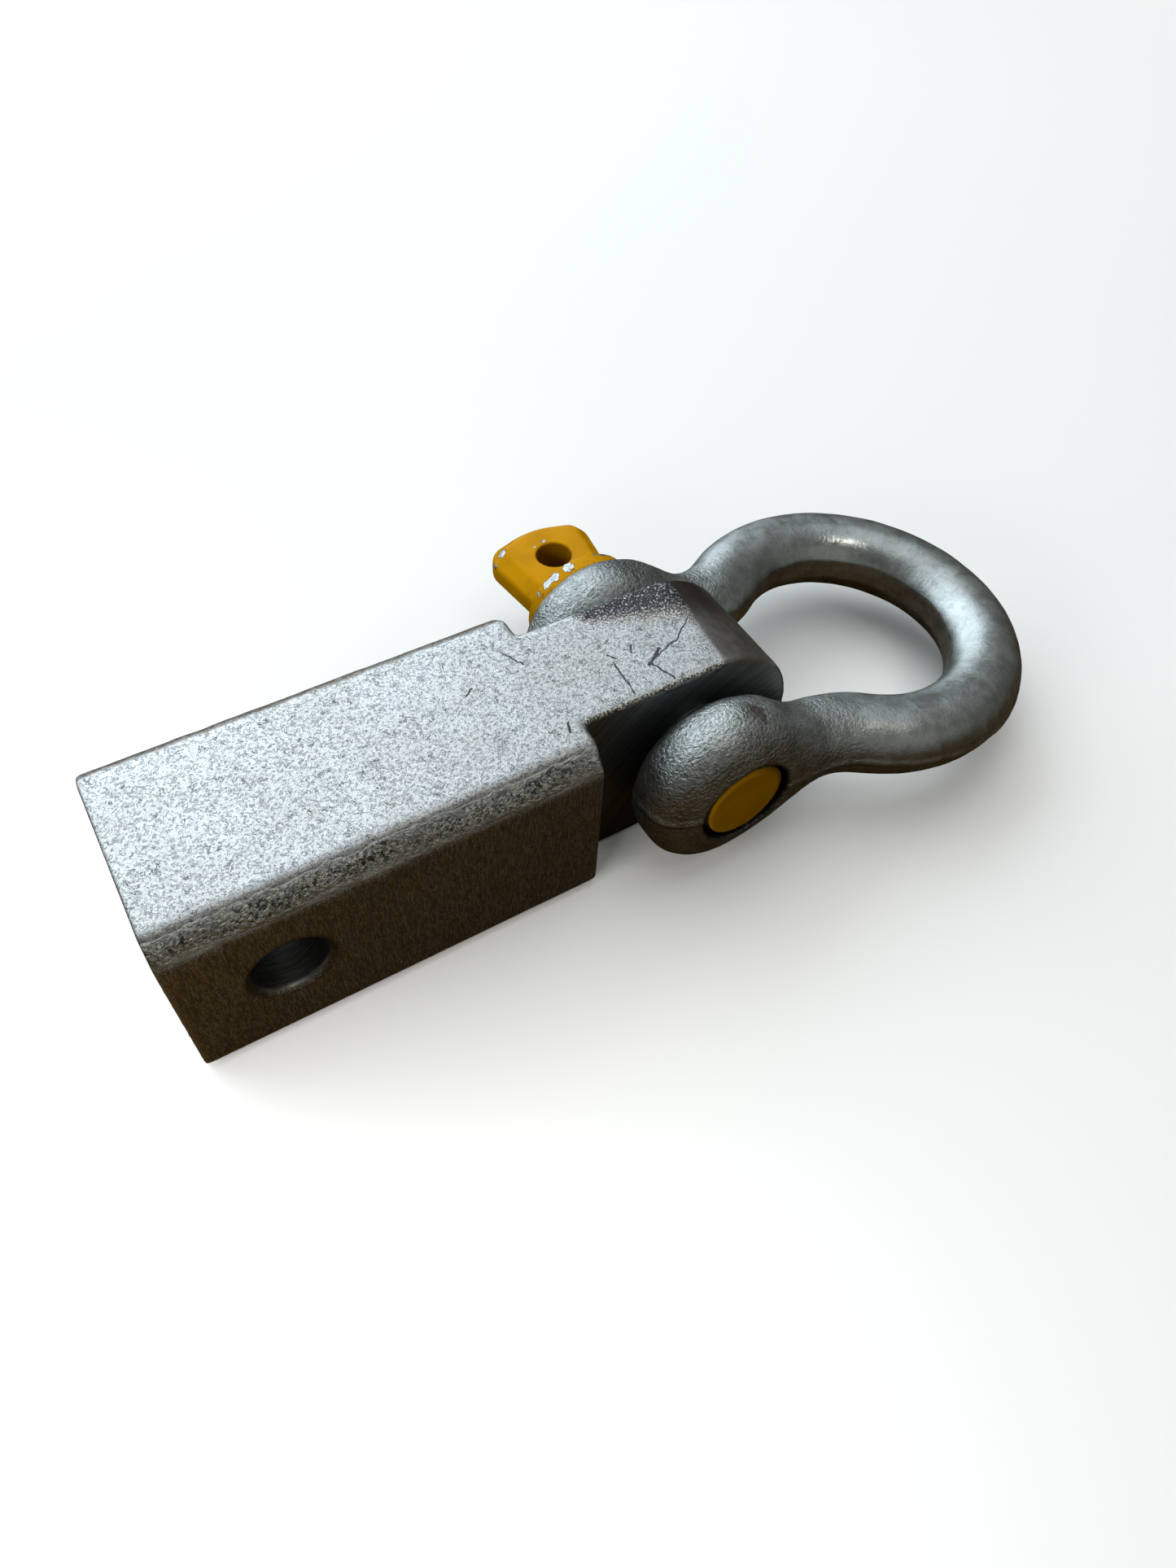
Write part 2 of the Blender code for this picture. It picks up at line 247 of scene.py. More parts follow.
def relaxed(mesh, points, passes, share=0.5):
    """Points moved by that share towards their neighbours' mean, again and again."""
    ends = np.empty(len(mesh.edges) * 2, dtype=np.int64)
    mesh.edges.foreach_get("vertices", ends)
    first, second = ends.reshape(-1, 2).T
    size = len(points)
    count = np.bincount(first, minlength=size) + np.bincount(second, minlength=size)
    share = np.broadcast_to(share, size)
    for _ in range(passes):
        moved = np.empty_like(points)
        for axis in range(3):
            line = points[:, axis]
            total = np.bincount(first, line[second], size)
            total += np.bincount(second, line[first], size)
            moved[:, axis] = line + share * (total / count - line)
        points = moved
    return points


def smoothed_piece(node, name, voxel, passes):
    """A fine copy of a node, with its points and normals."""
    piece = dense_copy(node, name, voxel)
    points = relaxed(piece.data, read_vectors(piece.data.vertices, "co"), passes)
    write_points(piece.data, points)
    return piece, points, read_vectors(piece.data.vertices, "normal")


def grain(points, size, seed):
    """Smooth noise from -1 to 1 with lumps of about that size."""
    shift = Vector((seed * 17.3, seed * 5.1, seed * 9.7))
    return np.array([noise.noise(Vector(p) / size + shift) for p in points])


def step(values, low, high):
    """0 up to low, 1 from high on, smooth between."""
    share = np.clip((values - low) / (high - low), 0.0, 1.0)
    return share * share * (3.0 - 2.0 * share)


def bump(values, width):
    """1 where a value is 0, falling away over that width."""
    return np.exp(-(values / width) ** 2)


def squarely(normals, axis):
    """1 where a skin faces straight along an axis, 0 where it leans away."""
    return step(normals[:, axis], 0.90, 0.98)


def spots(points, places):
    """Depth inside the nearest of some round spots: 1 at a middle, 0 at a rim, less outside."""
    depth = np.full(len(points), -1.0)
    for place, radius in places:
        gap = np.linalg.norm(points - np.array(place) * MM, axis=1)
        depth = np.maximum(depth, 1.0 - gap / (radius * MM))
    return depth


# Pieces

def chamfer_masks(points, normals):
    """Where the ground chamfers are, with ragged borders, and the coarse band along each."""
    wander = grain(points, 12.0 * MM, 1) * 0.25
    ragged = (grain(points, 5.0 * MM, 13) * 0.55 + grain(points, 1.6 * MM, 14) * 0.50) * MM
    ground = np.zeros(len(points))
    band = np.zeros(len(points))
    on_shank = points[:, 0] < SHOULDER_X + MM
    for y, z in CHAMFERS:
        facing = normals @ np.array((0.0, y, z))
        across = points @ np.array((0.0, z, -y))
        low, high = np.percentile(across[(facing > 0.985) & on_shank], (3, 97))
        offset = across - (low + high) / 2
        half = (high - low) / 2 + (FAR_CHAMFERS_WIDER if y > 0.0 else 0.0)
        inside = step(half + ragged - np.abs(offset), -0.25 * MM, 0.25 * MM)
        mask = inside * step(facing, 0.50, 0.54) * on_shank
        ground = np.maximum(ground, mask)
        band = np.maximum(band, mask * bump(offset / (high - low) - wander, 0.42))
    return ground, band


def tarnish_mask(x, y, z):
    """Heat tarnish on the tongue's far half, wider towards the nose."""
    share = np.clip((x - TARNISH_FROM_X) / (TARNISH_TO_X - TARNISH_FROM_X), 0.0, 1.0)
    depth = (TONGUE_HALF - y) / ((5.5 + 16.0 * share) * MM)
    tarnish = 1.0 - step(depth, 0.10, 1.10)
    tarnish *= step(x, TARNISH_FROM_X - 1.0 * MM, TARNISH_FROM_X + 4.0 * MM)
    return tarnish * step(z, 40.0 * MM, 44.0 * MM)


def block_masks(points, normals):
    """Which part of the block's skin each point is on, as shares from 0 to 1."""
    x, y, z = points.T
    ground, band = chamfer_masks(points, normals)
    on_tongue = step(x, SHOULDER_X - 0.5 * MM, SHOULDER_X + 0.5 * MM)
    side = squarely(np.abs(normals), 1)
    milled = np.maximum(side * on_tongue, squarely(normals, 0) * (x < SHOULDER_X + MM))
    nose = step(x - NOSE_CREASE_X - 0.15 * y, -0.4 * MM, 0.6 * MM) * (1.0 - milled)
    # The rim mask carries the burr's lift and its painted glints, weaker on the far side
    burred = np.where(y < 0.0, 1.0, FAR_BURR)
    rim = burred * bump(np.abs(y) - TONGUE_HALF, 1.1 * MM) * step(z, 48.2 * MM, 49.2 * MM)
    from_hole = np.hypot(x, z - BAR_HALF) - HITCH_HOLE_RADIUS
    near_hole = 1.0 - step(from_hole, 1.4 * MM, 2.0 * MM)
    return {
        "ground": ground,
        "far": step(y, 0.0, 10.0 * MM),
        "band": band,
        "milled": milled,
        "nose": nose,
        "rim": rim * (on_tongue * (1.0 - nose * 0.6)),
        "hole": 1.0 - step(from_hole, 0.1 * MM, 0.6 * MM),
        "sink": step(from_hole, -0.3 * MM, 0.1 * MM) * near_hole,
        "tarnish": tarnish_mask(x, y, z),
        "side": side * (1.0 - on_tongue),
        "top": step(z, 48.6 * MM, 49.6 * MM),
    }


def make_block():
    """The receiver block: chipped chamfers, a torn tail edge and burrs along the tongue."""
    piece, points, normals = smoothed_piece(
        "receiver_block", "receiver_block_steel", BLOCK_VOXEL, 2)
    x, y, _ = points.T
    masks = block_masks(points, normals)
    tail = bump(x - BLOCK_LOW.x, 0.9 * MM) * bump(np.abs(y) - BAR_HALF, 0.9 * MM)
    chipped = grain(points, 1.5 * MM, 2) * 0.17 * masks["band"]
    chipped += grain(points, 5.0 * MM, 3) * 0.13 * masks["ground"]
    torn = np.maximum(grain(points, 1.2 * MM, 4) + 0.15, 0.0)
    swell = grain(points, 9.0 * MM, 5) * 0.03 * (1.0 - masks["milled"])
    shaped = points + normals * ((chipped + torn * 0.4 * tail + swell) * MM)[:, None]
    shaped[:, 1] += np.sign(y) * torn * masks["rim"] * 0.9 * MM
    write_points(piece.data, shaped)
    for name, values in masks.items():
        store(piece.data, name, values)
    return piece


def bow_axes(points):
    """Points in the bow's own frame: u from the pin to the crown, v along the pin, w up."""
    local = points - np.array(PIN_AXIS)
    cosine, sine = math.cos(BOW_DROOP), math.sin(BOW_DROOP)
    u = local[:, 0] * cosine - local[:, 2] * sine
    w = local[:, 0] * sine + local[:, 2] * cosine
    return u, local[:, 1], w


def along_bow(u, v):
    """How far along the bow each point is from the middle of the crown."""
    crown = np.arctan2(v, u - CROWN_CENTRE) * CROWN_RADIUS
    leg = np.sign(v) * (math.pi / 2 * CROWN_RADIUS + CROWN_CENTRE - u)
    return np.where(u > CROWN_CENTRE, crown, leg)


def inward(u, v, outward):
    """1 where the bow's skin faces the space inside the bow, 0 where it faces away."""
    on_crown = u > CROWN_CENTRE
    reach = np.hypot(u - CROWN_CENTRE, v)
    radial_u = np.where(on_crown, (u - CROWN_CENTRE) / reach, 0.0)
    radial_v = np.where(on_crown, v / reach, np.sign(v))
    return step(-(outward[:, 0] * radial_u + outward[:, 1] * radial_v), 0.1, 0.6)


def bow_blank():
    """The bow with its facets smoothed away, most of all at the necks behind the ears."""
    piece, points, _ = smoothed_piece("shackle_bow", "shackle_bow_forging", BOW_VOXEL, 3)
    mesh = piece.data
    u, _, w = bow_axes(points)
    from_axis = np.hypot(u, w)
    clear_of_bore = step(from_axis, BOW_BORE + 0.5 * MM, BOW_BORE + 2.5 * MM)
    points = relaxed(mesh, points, 20, 0.5 * clear_of_bore)
    neck = bump(u - 3.0 * MM, 13.0 * MM)
    neck *= step(from_axis, BOW_BORE + 1.5 * MM, BOW_BORE + 5.0 * MM)
    points = relaxed(mesh, points, 100, 0.5 * neck)
    write_points(mesh, points)
    return piece, points, read_vectors(mesh.vertices, "normal")


def level_part(normals):
    """The part of each normal that lies in the bow's plane, at length 1 where it leans."""
    up = np.array((math.sin(BOW_DROOP), 0.0, math.cos(BOW_DROOP)))
    outward = normals - (normals @ up)[:, None] * up
    return outward / np.maximum(np.linalg.norm(outward, axis=1), 0.3)[:, None]


def polished_mask(u, v, w, inner):
    """A bright patch worn on the inside of the crown."""
    spot_u, spot_v, spot_w = bow_axes(np.array((POLISHED_SPOT,)) * MM)
    aside = bump(along_bow(u, v) - along_bow(spot_u, spot_v), 15.0 * MM)
    return aside * bump(w - spot_w, 3.0 * MM) * inner


def make_bow():
    """The bow: a raised flash line outside, a trimmed flat inside, lumps and rust."""
    piece, points, normals = bow_blank()
    mesh = piece.data
    u, v, w = bow_axes(points)
    outward = level_part(normals)
    in_bore = 1.0 - step(np.hypot(u, w), BOW_BORE - 0.2 * MM, BOW_BORE + 1.2 * MM)
    in_jaw = (1.0 - step(np.abs(v), JAW_HALF + 0.5 * MM, JAW_HALF + 3.0 * MM)) * (u < 30.0 * MM)
    free = (1.0 - in_bore) * (1.0 - in_jaw)
    on_ear = 1.0 - step(u, 18.0 * MM, 42.0 * MM)
    inner = inward(u, v, outward) * step(u, 24.0 * MM, 34.0 * MM)

    wander = (grain(points, 7.0 * MM, 6) * 0.45 + grain(points, 1.8 * MM, 7) * 0.22 * on_ear) * MM
    seam = w - wander
    ridge = np.clip(1.0 - np.abs(seam) / FLASH_HALF, 0.0, 1.0) * free * (1.0 - inner)
    tall = (0.42 + 0.12 * grain(points, 4.0 * MM, 8)) * MM
    trimmed = np.maximum(TRIMMED_HALF ** 2 - seam ** 2, 0.0) / (2.0 * STOCK_RADIUS) * inner
    lumps = grain(points, 6.5 * MM, 9) * 0.11 + grain(points, 1.5 * MM, 10) * 0.05 * on_ear
    rust = spots(points, (RUST_SPOT,))
    pitted = np.maximum(rust, 0.0) * grain(points, 1.1 * MM, 11) * 0.25
    lift = (lumps + pitted) * MM * free - trimmed
    write_points(mesh, points + normals * lift[:, None] + outward * (ridge * tall)[:, None])

    store(mesh, "ear", on_ear)
    store(mesh, "far", on_ear * step(v, 0.0, 10.0 * MM))
    store(mesh, "seam", seam)
    store(mesh, "hole", in_bore)
    store(mesh, "trimmed", step(TRIMMED_HALF - np.abs(seam), -0.1 * MM, 0.5 * MM) * inner)
    store(mesh, "rust", rust)
    store(mesh, "stain", spots(points, (STAIN_SPOT,)))
    store(mesh, "polished", polished_mask(u, v, w, inner))
    store(mesh, "along", along_bow(u, v))
    return piece


def make_pin():
    """The screw pin: slow runs in the paint, bare shaft, dirt on the collar, a darker eye and
    painted shade on the tip face.
    """
    piece, points, normals = smoothed_piece("screw_pin", "screw_pin_forging", PIN_VOXEL, 2)
    mesh = piece.data
    x, y, z = points.T
    shaft = step(y, TIP_FACE_Y, TIP_FACE_Y + 0.5 * MM)
    shaft *= 1.0 - step(y, COLLAR_FROM_Y - 0.4 * MM, COLLAR_FROM_Y + 0.2 * MM)
    from_axis = np.hypot(x - PIN_AXIS.x, z - PIN_AXIS.z)
    collar = step(from_axis, COLLAR_RADIUS - 2.6 * MM, COLLAR_RADIUS - 1.6 * MM)
    collar *= 1.0 - step(y, 41.0 * MM, 42.5 * MM)
    eye = 1.0 - step(np.hypot(x - PIN_AXIS.x, y - EYE_Y), 4.6 * MM, 5.3 * MM)
    tip = 1.0 - step(y, TIP_FACE_Y - 0.8 * MM, TIP_FACE_Y)
    runs = grain(points, 5.0 * MM, 12) * 0.05 * MM
    write_points(mesh, points + normals * runs[:, None])
    store(mesh, "chips", spots(points, PAINT_CHIPS))
    store(mesh, "shaft", shaft)
    store(mesh, "collar", collar)
    # Darker inside the eye of the head, and painted shade on the tip face
    store(mesh, "dark_eye_shaded_tip", np.maximum(eye, 0.75 * tip))
    return piece


# Materials

class Look:
    """A node material while it is being built. Sizes are in metres in the object's own frame."""

    def __init__(self, name):
        self.material = bpy.data.materials.new(name)
        self.material.use_nodes = True
        self.tree = self.material.node_tree
        self.shader = self.tree.nodes["Principled BSDF"]
        self.place = self.tree.nodes.new("ShaderNodeTexCoord").outputs["Object"]

    def feed(self, socket, value):
        """Join a socket to another node's output, or give it a constant."""
        if isinstance(value, bpy.types.NodeSocket):
            self.tree.links.new(value, socket)
        else:
            socket.default_value = value

    def set(self, **values):
        """Inputs of the surface shader."""
        for name, value in values.items():
            self.feed(self.shader.inputs[name.replace("_", " ")], value)

    def add(self, kind, values, **settings):
        """A new node with its inputs and its settings."""
        item = self.tree.nodes.new("ShaderNode" + kind)
        for key, value in settings.items():
            setattr(item, key, value)
        for key, value in values.items():
            self.feed(item.inputs[key], value)
        return item

    def maths(self, operation, first, second=0.0, clamp=False):
        item = self.add("Math", {0: first, 1: second}, operation=operation, use_clamp=clamp)
        return item.outputs[0]

    def times(self, first, *others):
        for other in others:
            first = self.maths("MULTIPLY", first, other)
        return first

    def plus(self, first, *others):
        for other in others:
            first = self.maths("ADD", first, other)
        return first

    def vector(self, operation, first, second=(0.0, 0.0, 0.0)):
        item = self.add("VectorMath", {0: first, 1: second}, operation=operation)
        return item.outputs["Value" if operation in ("DOT_PRODUCT", "LENGTH") else "Vector"]

    def noise(self, size, detail=2.0, roughness=0.5, distortion=0.0, place=None):
        values = {"Vector": place or self.place, "Scale": 1.0 / size, "Detail": detail,
                  "Roughness": roughness, "Distortion": distortion}
        return self.add("TexNoise", values).outputs[0]

    def drawn_out(self, x, y, z):
        """Coordinates for noise whose lumps have those sizes."""
        return self.vector("MULTIPLY", self.place, (1.0 / x, 1.0 / y, 1.0 / z))

    def band(self, value, low, high):
        """0 at low, 1 at high, smooth between; low may be above high."""
        values = {"Value": value, "From Min": low, "From Max": high}
        return self.add("MapRange", values, interpolation_type="SMOOTHSTEP").outputs[0]

    def mix(self, share, first, second):
        """A colour between two others."""
        item = self.tree.nodes.new("ShaderNodeMix")
        item.data_type = "RGBA"
        for place, value in ((0, share), (6, first), (7, second)):
            self.feed(item.inputs[place], value)
        return item.outputs[2]

    def blend(self, share, first, second):
        """A number between two others."""
        item = self.tree.nodes.new("ShaderNodeMix")
        item.data_type = "FLOAT"
        for place, value in ((0, share), (2, first), (3, second)):
            self.feed(item.inputs[place], value)
        return item.outputs[0]

    def painted(self, name):
        """One of the masks stored on the mesh."""
        return self.add("Attribute", {}, attribute_name=name).outputs["Fac"]

    def torn(self, mask, noise, amount):
        """A mask with noise added around 0, so that a band of it has a torn edge."""
        return self.plus(mask, self.times(self.plus(noise, -0.5), amount))

    def without(self, mask):
        """1 where a mask is 0."""
        return self.maths("SUBTRACT", 1.0, mask)

    def strokes(self, size, width, gap_size, gap_level):
        """Short, thin, curly lines, like the grain of hot-dip or plated zinc."""
        field = self.noise(size, detail=2.0, roughness=0.5, distortion=1.3)
        line = self.band(self.maths("ABSOLUTE", self.plus(field, -0.5)), width, width * 0.2)
        kept = self.band(self.noise(gap_size, detail=1.0), gap_level, gap_level + 0.06)
        return self.times(line, kept)

    def pits(self, spacing, radius, level):
        """Sparse round specks, in patches."""
        values = {"Vector": self.place, "Scale": 1.0 / spacing}
        gap = self.add("TexVoronoi", values).outputs["Distance"]
        dot = self.band(gap, radius / spacing, radius / spacing * 0.4)
        kept = self.band(self.noise(spacing * 2.5, detail=0.0), level, level + 0.03)
        return self.times(dot, kept)

    def scratch(self, level, start, end, width):
        """1 along a thin scratch on a level face, 0 away from it."""
        start = Vector((*start, 0.0)) * MM
        along = Vector((*end, 0.0)) * MM - start
        offset = self.vector("SUBTRACT", level, start)
        share = self.maths("MULTIPLY", self.vector("DOT_PRODUCT", offset, along),
                           1.0 / along.length_squared, clamp=True)
        nearest = self.add("VectorMath", {0: along, "Scale": share}, operation="SCALE").outputs[0]
        gap = self.vector("LENGTH", self.vector("SUBTRACT", offset, nearest))
        return self.band(gap, width * MM, width * 0.3 * MM)

    def scratches(self, marks):
        """All the scratches together, with a waver in their course."""
        values = {"Vector": self.place, "Scale": 1.0 / (1.6 * MM), "Detail": 2.0}
        waver = self.add("TexNoise", values).outputs["Color"]
        waver = self.vector("SUBTRACT", waver, (0.5, 0.5, 0.5))
        waver = self.vector("MULTIPLY", waver, (1.1 * MM, 1.1 * MM, 0.0))
        level = self.vector("MULTIPLY", self.vector("ADD", self.place, waver), (1.0, 1.0, 0.0))
        total = self.scratch(level, *marks[0])
        for mark in marks[1:]:
            total = self.maths("MAXIMUM", total, self.scratch(level, *mark))
        return total

    def relief(self, height):
        """Bump from a height in metres."""
        item = self.add("Bump", {"Height": height, "Distance": 1.0, "Strength": 1.0})
        self.feed(self.shader.inputs["Normal"], item.outputs[0])


def skin_marks(look):
    """Marks on the plated skin: thin strokes, fine crinkles, and all the dark ones together."""
    thin = look.strokes(0.85 * MM, 0.075, 0.75 * MM, 0.47)
    bold = look.strokes(1.6 * MM, 0.045, 2.2 * MM, 0.60)
    crinkle = look.noise(0.45 * MM, detail=3.0, roughness=0.6, distortion=1.2)
    pits = look.pits(3.6 * MM, 0.22 * MM, 0.52)
    marks = look.times(look.scratches(SCRATCHES), look.painted("top"))
    dark = look.maths("MAXIMUM", look.maths("MAXIMUM", look.times(bold, 0.7), pits), marks)
    return thin, crinkle, dark


def plated(look, patches, thin, crinkle, dark):
    """Bright zinc in slow patches, with painted shade and painted glints on its crinkles, its
    marks and the stain on the shank's sides.
    """
    plate = look.mix(look.band(patches, 0.35, 0.65), ZINC_WARM, ZINC_COOL)
    # Painted shade in the crinkles' low spots and painted glints on their crests, from the same
    # noise as their relief
    plate = look.mix(look.band(crinkle, 0.47, 0.33), plate, ZINC_SHADE)
    plate = look.mix(look.band(crinkle, 0.54, 0.66), plate, ZINC_GLINT)
    plate = look.mix(look.times(thin, 0.72), plate, ZINC_STROKE)
    leaning = {"Vector": look.place, "Rotation": (0.0, 0.7, 0.0),
               "Scale": (1 / (0.28 * MM), 1 / (1.6 * MM), 1 / (2.2 * MM))}
    leaning = look.add("Mapping", leaning).outputs[0]
    stain = look.noise(1.0, detail=4.0, roughness=0.6, place=leaning)
    stained = look.times(look.painted("side"), look.band(stain, 0.60, 0.42), 0.80)
    plate = look.mix(stained, plate, ZINC_STAIN)
    return look.mix(look.times(dark, 0.9), plate, ZINC_PIT)


def tarnished(look, plate, tarnish):
    """The plate's colour with tarnish, the burr's dark flecks and painted glints, and a darker
    brown rim round the hitch hole on it, and how far it is burnt.
    """
    flecks = look.noise(0.50 * MM, detail=3.0, roughness=0.6)
    burnt = look.band(look.torn(look.times(tarnish, 0.85), flecks, 2.6), 0.28, 0.50)
    hue = look.mix(look.band(tarnish, 0.35, 0.85), TARNISH_THIN, TARNISH_THICK)
    glitter = look.band(look.noise(0.55 * MM, detail=1.0, distortion=0.6), 0.58, 0.66)
    hue = look.mix(look.times(glitter, 0.8), hue, TARNISH_GLITTER)
    plate = look.mix(look.times(burnt, 0.95), plate, hue)
    burr = look.band(look.torn(look.painted("rim"), flecks, 1.4), 0.40, 0.55)
    # Painted glints on the burr, among dark flecks
    burr_crumbs_and_glints = look.mix(look.band(flecks, 0.46, 0.54), BURR_DARK, BURR_GLINT)
    plate = look.mix(burr, plate, burr_crumbs_and_glints)
    # Darker brown flecks on the countersunk rim of the hitch hole
    browned_rim = look.times(look.painted("sink"), look.band(flecks, 0.25, 0.50))
    return look.mix(browned_rim, plate, HOLE_RIM_BROWN), burnt


def chamfered(look, patches, coarse, band, far):
    """Smooth dark zinc with a coarse middle of painted glints and painted shade in its low spots;
    the far chamfers darker as painted shade.
    """
    clouds = look.band(look.noise(2.5 * MM, detail=3.0), 0.35, 0.65)
    dull = look.mix(clouds, GROUND_DARK, GROUND_LIGHT)
    crowded = look.blend(look.band(patches, 0.40, 0.55), 0.45, 1.0)
    cluster = look.times(look.band(band, 0.1, 0.8), crowded, look.blend(far, 1.0, 0.3))
    # Painted shade: the far chamfers darker
    dull = look.mix(look.times(far, look.blend(clouds, 0.75, 1.0)), dull, GROUND_FAR_SHADE)
    # Painted glints on the hammered crests and painted shade in their low spots
    glints = look.times(look.band(coarse, 0.50, 0.57), cluster)
    dent_shade = look.times(look.band(coarse, 0.49, 0.42), cluster)
    dull = look.mix(glints, dull, GROUND_GLINT)
    return look.mix(look.times(dent_shade, 0.9), dull, GROUND_DENT_SHADE)


def milled_rings(look):
    """Noise along the wide arcs that a face mill leaves on the tongue's sides."""
    centre = look.vector("SUBTRACT", look.place, MILL_CENTRE)
    sweep = look.vector("LENGTH", look.vector("MULTIPLY", centre, (1.0, 0.0, 1.0)))
    fine = look.noise(0.16 * MM, detail=2.0)
    swept = {0: look.times(sweep, 1.0 / (0.22 * MM)), 1: look.times(fine, 0.5)}
    swept = look.add("CombineXYZ", swept).outputs[0]
    return look.noise(1.0, detail=3.0, roughness=0.6, place=swept)


def zinc_look():
    """Plated steel with ground chamfers, machined faces and heat tarnish."""
    look = Look("zinc_plated_steel")
    band = look.painted("band")
    far = look.painted("far")
    hole = look.painted("hole")
    milled = look.painted("milled")
    nose = look.painted("nose")
    tarnish = look.painted("tarnish")
    edge = look.noise(2.2 * MM, detail=4.0, roughness=0.6)
    ground = look.band(look.torn(look.painted("ground"), edge, 0.55), 0.40, 0.60)
    thin, crinkle, dark = skin_marks(look)
    patches = look.noise(11.0 * MM, detail=3.0)
    coarse = look.noise(1.0 * MM, detail=4.0, roughness=0.65, distortion=0.8)
    rings = milled_rings(look)
    satin = look.noise(3.0 * MM, detail=4.0, roughness=0.6)
    turned = look.noise(1.0, detail=3.0, place=look.drawn_out(5.0 * MM, 0.25 * MM, 5.0 * MM))

    plate, burnt = tarnished(look, plated(look, patches, thin, crinkle, dark), tarnish)
    # Mill marks on the milled faces, their tone lowered as painted shade
    steel = look.mix(look.band(rings, 0.35, 0.7), MILLED_SHADED_DARK, MILLED_SHADED_LIGHT)
    worn = look.mix(look.band(satin, 0.35, 0.65), NOSE_DARK, NOSE_LIGHT)
    worn = look.mix(look.times(look.band(tarnish, 0.1, 0.9), 0.85), worn, NOSE_BURNT)
    # Turned marks in the hitch hole's bore, darkened as painted shade
    inside = look.mix(look.band(turned, 0.4, 0.65), BORED_SHADED_DARK, BORED_SHADED_LIGHT)
    colour = look.mix(ground, plate, chamfered(look, patches, coarse, band, far))
    colour = look.mix(nose, look.mix(milled, colour, steel), worn)
    look.set(Base_Color=look.mix(hole, colour, inside), Metallic=1.0)

    sunk = look.plus(look.times(thin, -0.040 * MM), look.times(dark, -0.12 * MM))
    skin = look.plus(sunk, look.times(crinkle, 0.11 * MM))
    hammered = look.times(coarse, look.blend(band, 0.10, 1.30), MM)
    height = look.blend(ground, skin, hammered)
    height = look.blend(milled, height, look.times(rings, 0.045 * MM))
    height = look.blend(nose, height, look.times(satin, 0.05 * MM))
    look.relief(look.blend(hole, height, look.times(turned, 0.02 * MM)))
    chamfer_gloss = look.blend(far, look.blend(band, 0.50, 0.24), 0.36)
    gloss = look.blend(ground, look.blend(burnt, 0.38, 0.50), chamfer_gloss)
    look.set(Roughness=look.blend(look.maths("MAXIMUM", nose, milled), gloss, 0.36))
    return look.material


def dipped(look, cloud, mottle, brushed, fleck):
    """Cloudy, mottled, faintly brushed zinc with a stain and bright flecks."""
    far = look.painted("far")
    grey = look.mix(look.band(cloud, 0.32, 0.68), BOW_DARK, BOW_LIGHT)
    mottled = look.band(mottle, look.blend(far, 0.50, 0.66), look.blend(far, 0.34, 0.42))
    grey = look.mix(look.times(mottled, look.blend(far, 0.45, 0.75)), grey, BOW_MOTTLE)
    grey = look.mix(look.times(look.band(brushed, 0.52, 0.30), 0.20), grey, BOW_BRUSHED)
    stain = look.band(look.torn(look.painted("stain"), mottle, 2.2), 0.15, 0.75)
    grey = look.mix(look.times(stain, 0.75), grey, BOW_STAIN)
    return look.mix(look.times(look.band(fleck, 0.54, 0.72), 0.35), grey, BOW_FLECK)


def flashed(look, grey, ear, cloud, mottle, fleck):
    """The bow's grey with the bright trimmed flat, and the flash line's crest and the painted
    shade along its foot.
    """
    seam = look.painted("seam")
    trimmed = look.painted("trimmed")
    bright = look.blend(look.band(mottle, 0.35, 0.60), 0.35, 0.80)
    grey = look.mix(look.times(trimmed, bright), grey, BOW_TRIMMED)
    crest = look.band(look.maths("ABSOLUTE", seam), 0.45 * MM, 0.0)
    crest = look.times(crest, look.band(fleck, 0.40, 0.60))
    # Painted shade along the lower foot of the flash line
    under = look.band(look.maths("ABSOLUTE", look.plus(seam, 1.15 * MM)), 0.45 * MM, 0.05 * MM)
    shade_under_flash = look.times(under, look.band(cloud, 0.40, 0.55), look.blend(ear, 0.35, 0.9))
    shade_under_flash = look.times(shade_under_flash, look.without(trimmed))
    grey = look.mix(look.times(crest, 0.7), grey, BOW_CREST)
    return look.mix(shade_under_flash, grey, BOW_SHADE_UNDER_FLASH)


